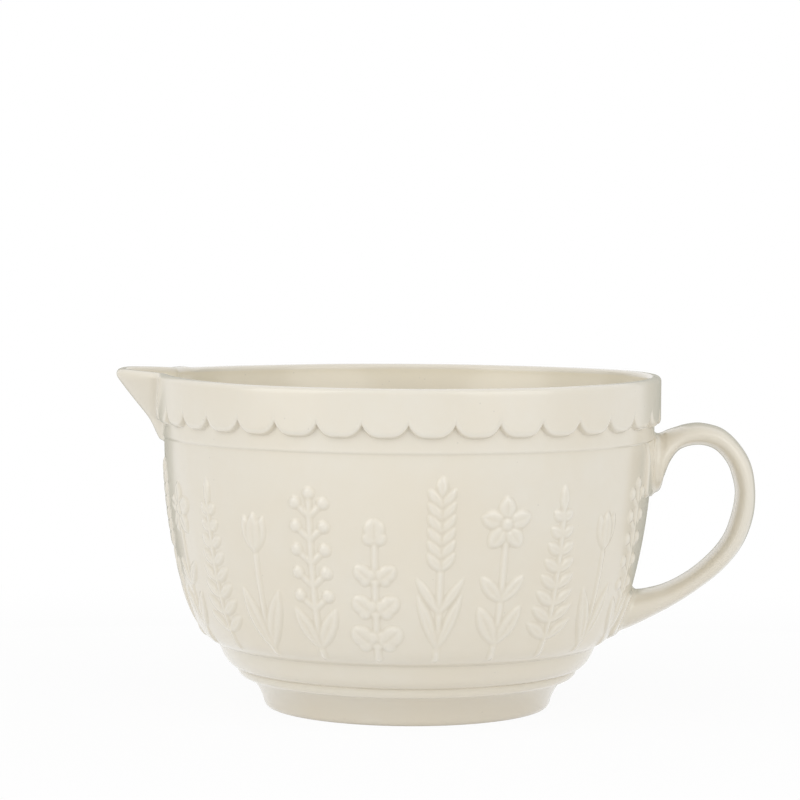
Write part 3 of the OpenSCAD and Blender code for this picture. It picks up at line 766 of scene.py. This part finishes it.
def blossom():
    p = Plant()
    at = 0.74 * PLANT_H
    p.stem(at)
    p.pair(0.08 * PLANT_H, 30, LEAF_L, LEAF_W, ribs=0.16)
    p.pair(0.32 * PLANT_H, 42, LEAF_L * 0.75, LEAF_W * 0.8, ribs=0.16)
    for i in range(5):
        a = math.radians(72 * i)
        p.leaf(-math.sin(a) * STEM_W / 2, at + math.cos(a) * STEM_W / 2, 72 * i, PETAL_L, PETAL_W,
               height=1.25, vein=0.3)
    p.berry(0, at, PETAL_W * 0.72, height=1.5)
    return p.done()


def fern():
    p = Plant()
    tall = 0.94 * PLANT_H
    p.stem(0.9 * tall)
    for i in range(8):
        p.pair(tall * (0.1 + 0.1 * i), 56, LEAF_L * (0.72 - 0.06 * i), LEAF_W * 0.62, vein=0.35,
               ribs=0.1)
    p.leaf(0, 0.84 * tall, 0, 0.16 * tall, LEAF_W * 0.6, vein=0.35)
    p.stem(0.86 * tall, w=1.5, height=1.1)
    return p.done()


def tulip():
    p = Plant()
    at = 0.56 * PLANT_H
    p.stem(at + STEM_W)
    p.pair(0.02 * PLANT_H, 20, LEAF_L * 1.5, LEAF_W, ribs=0.12)
    p.pair(at, 19, PETAL_L * 1.55, PETAL_W * 0.85, vein=0.15)
    p.leaf(0, at, 0, PETAL_L * 1.6, PETAL_W, height=1.3, vein=0.2)
    return p.done()


def berries():
    p = Plant()
    tall, twig = 0.9 * PLANT_H, 0.45 * LEAF_L
    p.stem(tall)
    p.pair(0.05 * PLANT_H, 28, LEAF_L * 1.05, LEAF_W * 0.9, ribs=0.16)
    for i in range(5):
        for side in (-1, 1):
            y0, a = tall * (0.3 + 0.14 * i), math.radians(48)
            p.stem(twig, 0, y0, side * 48, height=0.85)
            p.berry(-side * math.sin(a) * twig, y0 + math.cos(a) * twig, BERRY_D)
    p.berry(0, tall, BERRY_D)
    return p.done()


def heart_leaf(p, x0, y0, lean, w):
    v, u = p.local(x0, y0, lean)
    round_r = 0.28 * w
    tip = almond(v, u - 0.12 * w, 1.05 * w, 0.86 * w)
    d = np.maximum(tip, round_r - np.hypot(np.abs(v) - (w / 2 - round_r), u - round_r))
    rise = 1.2 * smooth((d + 0.55) / 1.4) * (0.88 + 0.14 * smooth(d / (w / 4)))
    inside = smooth((d - 0.2) / 0.8)
    rise = rise * (1 - 0.38 * np.exp(-(v / 0.5) ** 2) * inside)
    wave = np.cos(2 * math.pi * (u - 0.8 * np.abs(v)) / 2.7)
    rise = rise - 0.12 * inside * (0.5 + 0.5 * wave) ** 2
    p.lay(rise, d)


def hearts():
    p = Plant()
    tall = 0.66 * PLANT_H
    p.stem(tall)
    for i in range(3):
        for side in (-1, 1):
            y0, a = tall * (0.1 + 0.27 * i), math.radians(50)
            p.stem(0.3 * HEART_W, 0, y0, side * 50)
            heart_leaf(p, -side * math.sin(a) * 0.2 * HEART_W, y0 + math.cos(a) * 0.2 * HEART_W,
                       side * 50, HEART_W * (1 - 0.1 * i))
    heart_leaf(p, 0, tall - STEM_W, 0, HEART_W)
    return p.done()


def relief(name, plant, first):
    height = plant()
    grid = Plant()
    parts, values = [], []
    for i in range(first, PLANT_PLACES, PLANT_KINDS):
        angle = (i + 0.5) * 360 / PLANT_PLACES
        if abs(angle - HANDLE_ANGLE) > BARE_HALF_ANGLE:
            made, hollow = wall_patch(grid.x, grid.y, height, angle, PLANT_Z)
            parts.append(made)
            values.append(hollow)
    verts, faces = joined(parts)
    return make_piece(name, verts, faces, [("hollow", np.concatenate(values))], flip=False)


# Materials: cream glaze over pale clay
def linear(r, g, b):
    """A shader colour from the 0 to 255 levels that a picture shows."""
    return tuple(((c / 255 + 0.055) / 1.055) ** 2.4 for c in (r, g, b)) + (1.0,)


class Nodes:
    """Short calls for building a node tree."""

    def __init__(self, name):
        self.mat = bpy.data.materials.new(name)
        self.mat.use_nodes = True
        self.tree = self.mat.node_tree
        self.bsdf = self.tree.nodes["Principled BSDF"]

    def new(self, kind, inputs=None, **props):
        node = self.tree.nodes.new(kind)
        for key, value in props.items():
            setattr(node, key, value)
        for key, value in (inputs or {}).items():
            if isinstance(value, bpy.types.NodeSocket):
                self.tree.links.new(value, node.inputs[key])
            else:
                node.inputs[key].default_value = value
        return node

    def link(self, a, b):
        self.tree.links.new(a, b)

    def scale(self, value, low, high, to_low, to_high):
        node = self.new("ShaderNodeMapRange", {"Value": value, "From Min": low, "From Max": high,
                                               "To Min": to_low, "To Max": to_high})
        return node.outputs["Result"]

    def mix(self, factor, a, b, blend="MIX"):
        node = self.new("ShaderNodeMix", data_type="RGBA", blend_type=blend)
        for socket, value in ((node.inputs[0], factor), (node.inputs[6], a), (node.inputs[7], b)):
            if isinstance(value, bpy.types.NodeSocket):
                self.link(value, socket)
            else:
                socket.default_value = value
        return node.outputs[2]


def glaze(name, base, painted_shade, painted_highlight, bare=None):
    n = Nodes(name)
    place = n.new("ShaderNodeTexCoord").outputs["Object"]
    cloud = n.new("ShaderNodeTexNoise", {"Vector": place, "Scale": 16.0, "Detail": 4.0, "Roughness": 0.55})
    fine = n.new("ShaderNodeTexNoise", {"Vector": place, "Scale": 130.0, "Detail": 3.0, "Roughness": 0.6})
    hollow = n.new("ShaderNodeAttribute", attribute_name="hollow").outputs["Fac"]
    warm = tuple(c * f for c, f in zip(base[:3], (0.985, 0.965, 0.93))) + (1.0,)
    tone = n.mix(n.scale(cloud.outputs["Fac"], 0.36, 0.66, 0.0, 1.0), base, warm)
    tone = n.mix(n.scale(fine.outputs["Fac"], 0.35, 0.7, 0.0, 0.35), tone, warm)
    # Painted bounce light: surfaces inside the bowl take a warmer tone for light reflected round inside
    # it.
    inner = n.new("ShaderNodeAttribute", attribute_name="inner").outputs["Fac"]
    tone = n.mix(inner, tone, INSIDE_BOUNCE_TONE)
    # Painted shade towards the darker tone where the attribute is above nought, painted highlight towards
    # the lighter tone where it is below.
    tone = n.mix(n.scale(hollow, 0.0, 1.0, 0.0, 1.0), tone, painted_shade)
    tone = n.mix(n.scale(hollow, 0.0, -1.0, 0.0, 0.8), tone, painted_highlight)
    specks = n.new("ShaderNodeTexVoronoi", {"Vector": place, "Scale": 95.0, "Randomness": 1.0})
    tone = n.mix(n.scale(specks.outputs["Distance"], 0.028, 0.045, 0.35, 0.0), tone,
                 tuple(c * 0.72 for c in base[:3]) + (1.0,))
    # A wider range than this leaves faint outlines in the denoised picture
    rough = n.scale(cloud.outputs["Fac"], 0.3, 0.7, 0.21, 0.255)
    if bare:
        height = n.new("ShaderNodeSeparateXYZ", {"Vector": place}).outputs["Z"]
        uneven = n.scale(cloud.outputs["Fac"], 0.3, 0.7, -0.0002, 0.0003)
        edge = n.new("ShaderNodeMath", {0: height, 1: uneven}, operation="ADD").outputs[0]
        wiped = n.scale(edge, 0.00045, 0.0009, 1.0, 0.0)
        tone = n.mix(wiped, tone, bare)
        rough = n.new("ShaderNodeMath", {0: rough, 1: n.scale(wiped, 0.0, 1.0, 0.0, 0.6)},
                      operation="ADD").outputs[0]
    n.link(tone, n.bsdf.inputs["Base Color"])
    n.link(rough, n.bsdf.inputs["Roughness"])
    n.bsdf.inputs["IOR"].default_value = 1.5
    n.bsdf.inputs["Coat Weight"].default_value = 0.62
    n.bsdf.inputs["Coat Roughness"].default_value = 0.2
    wave = n.new("ShaderNodeTexNoise", {"Vector": place, "Scale": 42.0, "Detail": 2.0, "Roughness": 0.5})
    grain = n.new("ShaderNodeTexNoise", {"Vector": place, "Scale": 420.0, "Detail": 2.0, "Roughness": 0.5})
    low = n.new("ShaderNodeBump", {"Height": wave.outputs["Fac"], "Strength": 0.35, "Distance": 0.0006})
    top = n.new("ShaderNodeBump", {"Height": grain.outputs["Fac"], "Strength": 0.12, "Distance": 0.0001,
                                   "Normal": low.outputs["Normal"]})
    n.link(top.outputs["Normal"], n.bsdf.inputs["Normal"])
    return n.mat


# Darker tone for painted shade, lighter tone for painted highlight, and below them a warmer tone painted
# inside the bowl for bounced light.
CREAM, PAINTED_SHADE, PAINTED_HIGHLIGHT = linear(233, 227, 213), linear(218, 209, 190), linear(239, 234, 223)
INSIDE_BOUNCE_TONE = linear(237, 229, 208)
cream_glaze = glaze("cream_glaze", CREAM, PAINTED_SHADE, PAINTED_HIGHLIGHT)
relief_glaze = glaze("relief_glaze", CREAM, PAINTED_SHADE, PAINTED_HIGHLIGHT)
foot_glaze = glaze("foot_glaze", linear(225, 218, 203), PAINTED_SHADE, PAINTED_HIGHLIGHT, bare=linear(212, 204, 188))


def dress(piece, material, slot, *nodes):
    piece.data.materials.append(material)
    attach(piece, "root")
    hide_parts(*nodes)


dress(bowl_body(), cream_glaze, "cream_glaze", *[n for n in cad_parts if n.startswith("bowl_")])
dress(foot_ring(), foot_glaze, "foot_glaze", "foot_ring")
dress(base_ring("foot_bead", BASE_CUTS[1], BASE_CUTS[2]), cream_glaze, "cream_glaze", "foot_bead")
dress(base_ring("base_moulding", BASE_CUTS[0], BASE_CUTS[1]), cream_glaze, "cream_glaze", "base_moulding")
dress(rim_fascia(), cream_glaze, "cream_glaze", "rim_fascia")
dress(rim_band(), cream_glaze, "cream_glaze", "rim_band")
dress(spout(), cream_glaze, "cream_glaze", "spout")
dress(handle(), cream_glaze, "cream_glaze", "handle")
dress(pad("handle_upper_pad", *UPPER_PAD), cream_glaze, "cream_glaze", "handle_upper_pad")
dress(pad("handle_lower_pad", *LOWER_PAD), cream_glaze, "cream_glaze", "handle_lower_pad")
for first, (kind, plant) in enumerate((("wheat", wheat), ("blossoms", blossom), ("ferns", fern),
                                       ("tulips", tulip), ("berries", berries), ("hearts", hearts))):
    name = "relief_" + kind
    dress(relief(name, plant, first), relief_glaze, "relief_glaze", name)


# Floor and light: a white sweep that keeps a soft shadow, and large soft lamps
def make_stage():
    mesh = bpy.data.meshes.new("floor")
    mesh.from_pydata([(-6, -4, 0), (6, -4, 0), (6, 8, 0), (-6, 8, 0)], [], [(0, 1, 2, 3)])
    floor = bpy.data.objects.new("floor", mesh)
    bpy.context.scene.collection.objects.link(floor)
    n = Nodes("floor_white")
    n.bsdf.inputs["Base Color"].default_value = (0.9, 0.9, 0.9, 1)
    n.bsdf.inputs["Roughness"].default_value = 0.9
    n.bsdf.inputs["Specular IOR Level"].default_value = 0.1
    glow = n.new("ShaderNodeEmission", {"Color": (1, 1, 1, 1), "Strength": 1.0})
    path = n.new("ShaderNodeLightPath")
    seen = n.new("ShaderNodeMath", {0: path.outputs["Is Camera Ray"], 1: path.outputs["Is Glossy Ray"]},
                 operation="MAXIMUM")
    seen = n.new("ShaderNodeMath", {0: seen.outputs[0], 1: path.outputs["Is Transmission Ray"]},
                 operation="MAXIMUM")
    place = n.new("ShaderNodeTexCoord").outputs["Object"]
    far = n.new("ShaderNodeVectorMath", {0: place}, operation="LENGTH").outputs["Value"]
    shown = n.new("ShaderNodeMath", {0: seen.outputs[0], 1: n.scale(far, 0.14, 0.5, 0.94, 1.0)},
                  operation="MULTIPLY")
    amount = n.new("ShaderNodeMath", {0: shown.outputs[0], 1: 0.15}, operation="MAXIMUM")
    mixed = n.new("ShaderNodeMixShader", {0: amount.outputs[0], 1: n.bsdf.outputs[0], 2: glow.outputs[0]})
    n.link(mixed.outputs[0], n.tree.nodes["Material Output"].inputs["Surface"])
    floor.data.materials.append(n.mat)

    world = bpy.data.worlds.new("studio")
    bpy.context.scene.world = world
    world.use_nodes = True
    tree = world.node_tree
    back = tree.nodes["Background"]
    back.inputs["Color"].default_value = (1, 1, 1, 1)
    path = tree.nodes.new("ShaderNodeLightPath")
    place = tree.nodes.new("ShaderNodeTexCoord")
    split = tree.nodes.new("ShaderNodeSeparateXYZ")
    tree.links.new(place.outputs["Generated"], split.inputs[0])
    level = None
    for axis, low, high in (("Y", 0.66, 0.38), ("Z", 0.55, 1.3)):
        light = tree.nodes.new("ShaderNodeMapRange")
        tree.links.new(split.outputs[axis], light.inputs["Value"])
        for key, value in (("From Min", -0.9), ("From Max", 0.9), ("To Min", low), ("To Max", high)):
            light.inputs[key].default_value = value
        if level is not None:
            both = tree.nodes.new("ShaderNodeMath")
            both.operation = "MULTIPLY"
            tree.links.new(level, both.inputs[0])
            tree.links.new(light.outputs["Result"], both.inputs[1])
            level = both.outputs[0]
        else:
            level = light.outputs["Result"]
    for ray in ("Is Camera Ray", "Is Glossy Ray", "Is Transmission Ray"):
        pick = tree.nodes.new("ShaderNodeMath")
        pick.operation = "MAXIMUM"
        tree.links.new(level, pick.inputs[0])
        tree.links.new(path.outputs[ray], pick.inputs[1])
        level = pick.outputs[0]
    tree.links.new(level, back.inputs["Strength"])


def make_flag(name, corners):
    """A dark card out of the picture, which shades the bowl's sides as in a product photograph."""
    mesh = bpy.data.meshes.new(name)
    mesh.from_pydata(corners, [], [(0, 1, 2, 3)])
    card = bpy.data.objects.new(name, mesh)
    bpy.context.scene.collection.objects.link(card)
    card.visible_camera = False
    n = Nodes(name)
    n.bsdf.inputs["Base Color"].default_value = (0.44, 0.45, 0.4, 1)
    n.bsdf.inputs["Roughness"].default_value = 0.9
    card.data.materials.append(n.mat)


def make_lamp(name, place, target, size, power):
    data = bpy.data.lights.new(name, "AREA")
    data.shape = "RECTANGLE"
    data.size, data.size_y = size
    data.energy = power
    lamp = bpy.data.objects.new(name, data)
    lamp.location = place
    lamp.rotation_mode = "QUATERNION"
    lamp.rotation_quaternion = (Vector(target) - Vector(place)).to_track_quat("-Z", "Y")
    bpy.context.scene.collection.objects.link(lamp)


make_stage()
for side, wide in ((-1, 0.3), (1, 0.42)):
    make_flag("flag_" + "lr"[side > 0], [(side * x, y, z) for x, y, z in (
        (0.118, 0.27, 0.001), (wide, 0.24, 0.001), (wide, 0.24, 0.34), (0.118, 0.27, 0.34))])
make_lamp("softbox_l", (-1.4, -0.95, 0.86), (0, 0, 0.1), (1.3, 1.7), 8.7)
make_lamp("softbox_r", (1.15, -1.15, 0.86), (0, 0, 0.1), (1.3, 1.7), 7.4)
bpy.context.scene.view_settings.view_transform = "Standard"
